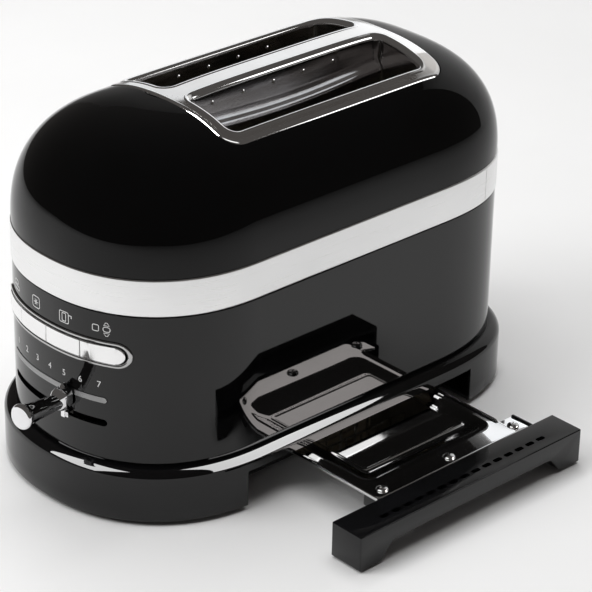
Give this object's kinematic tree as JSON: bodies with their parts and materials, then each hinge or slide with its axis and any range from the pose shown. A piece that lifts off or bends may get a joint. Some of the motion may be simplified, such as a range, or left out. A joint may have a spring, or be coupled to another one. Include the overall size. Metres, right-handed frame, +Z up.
{
  "type": "pop up toaster",
  "caption": "Two-slot pop-up toaster with rounded gloss shell, silver waist band, chrome slot frame, front keys and lever, and a drawn-out crumb tray.",
  "frame": {"origin": "on the worktop plane under the middle of the body, at the raised pad of the bottom plate", "axes": "+Z up, -Y towards the control panel, +X towards the side from which the crumb tray is drawn"},
  "size_m": [0.2528, 0.3395, 0.2119],
  "materials": {
    "gloss_black": "gloss enamel",
    "gloss_plinth": "high gloss",
    "brushed_silver": "fine brushed, bright edges",
    "chrome": "polished",
    "liner_steel": "bright rolled",
    "mirror_steel": "mirror polished sheet",
    "black_chrome": "smoked mirror",
    "black_plastic": "matt",
    "rubber": "matt",
    "wire_steel": "nickel plated wire",
    "steel": "zinc plated sheet",
    "mica": "pressed mica sheet",
    "nichrome": "oxidised heating ribbon",
    "circuit_board": "solder-masked board"
  },
  "bodies": {
    "casing": {"bagel_switch": "black_plastic", "base_plinth": "gloss_plinth", "bottom_plate": "black_plastic", "browning_track": "brushed_silver", "chassis_front": "steel", "chassis_rear": "steel", "control_bezel": "chrome", "control_board": "circuit_board", "cord_gland": "rubber", "defrost_switch": "black_plastic", "foot_front_left": "rubber", "foot_front_right": "rubber", "foot_rear_left": "rubber", "foot_rear_right": "rubber", "guide_rod_left": "steel", "guide_rod_right": "steel", "heater_left_inner_card": "mica", "heater_left_inner_winding": "nichrome", "heater_left_outer_card": "mica", "heater_left_outer_winding": "nichrome", "heater_right_inner_card": "mica", "heater_right_inner_winding": "nichrome", "heater_right_outer_card": "mica", "heater_right_outer_winding": "nichrome", "lift_motor": "steel", "lower_rod_bracket": "steel", "lower_shell": "gloss_black", "motor_plate": "steel", "power_board": "circuit_board", "rear_trim_band": "brushed_silver", "sandwich_switch": "black_plastic", "slider_rail": "steel", "slot_frame": "chrome", "slot_liner_left": "liner_steel", "slot_liner_right": "liner_steel", "tray_rail_front": "black_plastic", "tray_rail_rear": "black_plastic", "trim_band": "brushed_silver", "upper_rod_bracket": "steel", "upper_shell": "gloss_black", "warm_switch": "black_plastic"},
    "tray": {"crumb_tray": "mirror_steel", "tray_handle": "gloss_plinth", "tray_screw_1": "steel", "tray_screw_2": "steel", "tray_screw_3": "steel"},
    "lever": {"browning_lever": "black_chrome", "slider_carriage": "black_plastic"},
    "warm_key": {"warm_button": "brushed_silver"},
    "defrost_key": {"defrost_button": "brushed_silver"},
    "sandwich_key": {"sandwich_button": "brushed_silver"},
    "bagel_key": {"bagel_button": "brushed_silver"},
    "lift": {"lift_carriage": "black_plastic", "bread_rack_left": "wire_steel", "bread_rack_right": "wire_steel"},
    "guide_left_outer": {"bread_guide_left_outer": "wire_steel"},
    "guide_left_inner": {"bread_guide_left_inner": "wire_steel"},
    "guide_right_inner": {"bread_guide_right_inner": "wire_steel"},
    "guide_right_outer": {"bread_guide_right_outer": "wire_steel"},
    "pinion": {"lift_pinion": "black_plastic"}
  },
  "joints": [
    {"name": "tray_slide", "type": "slide", "parent": "casing", "child": "tray", "axis": [1, 0, 0], "range_m": [-0.0846, 0.02]},
    {"name": "lever_turn", "type": "hinge", "parent": "casing", "child": "lever", "pos_m": [0, -0.0525, 0.0563], "axis": [0, 0, 1], "range_deg": [-30, 12]},
    {"name": "warm_press", "type": "slide", "parent": "casing", "child": "warm_key", "axis": [0, 1, 0], "range_m": [0, 0.001], "stiffness_N_per_m": 400},
    {"name": "defrost_press", "type": "slide", "parent": "casing", "child": "defrost_key", "axis": [0, 1, 0], "range_m": [0, 0.001], "stiffness_N_per_m": 400},
    {"name": "sandwich_press", "type": "slide", "parent": "casing", "child": "sandwich_key", "axis": [0, 1, 0], "range_m": [0, 0.001], "stiffness_N_per_m": 400},
    {"name": "bagel_press", "type": "slide", "parent": "casing", "child": "bagel_key", "axis": [0, 1, 0], "range_m": [0, 0.001], "stiffness_N_per_m": 400},
    {"name": "lift_slide", "type": "slide", "parent": "casing", "child": "lift", "axis": [0, 0, 1], "range_m": [-0.084, 0]},
    {"name": "squeeze_left_outer", "type": "slide", "parent": "casing", "child": "guide_left_outer", "axis": [1, 0, 0], "range_m": [0, 0.005]},
    {"name": "squeeze_left_inner", "type": "slide", "parent": "casing", "child": "guide_left_inner", "axis": [-1, 0, 0], "range_m": [0, 0.005]},
    {"name": "squeeze_right_inner", "type": "slide", "parent": "casing", "child": "guide_right_inner", "axis": [1, 0, 0], "range_m": [0, 0.005]},
    {"name": "squeeze_right_outer", "type": "slide", "parent": "casing", "child": "guide_right_outer", "axis": [-1, 0, 0], "range_m": [0, 0.005]},
    {"name": "pinion_turn", "type": "hinge", "parent": "casing", "child": "pinion", "pos_m": [0.00804, -0.0758, 0.101], "axis": [0, 1, 0], "range_deg": [-630.5, 0.5]}
  ],
  "couplings": [
    {"joint": "squeeze_left_outer", "follows": "lift_slide", "ratio": -0.0595},
    {"joint": "squeeze_left_inner", "follows": "lift_slide", "ratio": -0.0595},
    {"joint": "squeeze_right_inner", "follows": "lift_slide", "ratio": -0.0595},
    {"joint": "squeeze_right_outer", "follows": "lift_slide", "ratio": -0.0595},
    {"joint": "pinion_turn", "follows": "lift_slide", "rad_per_m": 130.9}
  ]
}
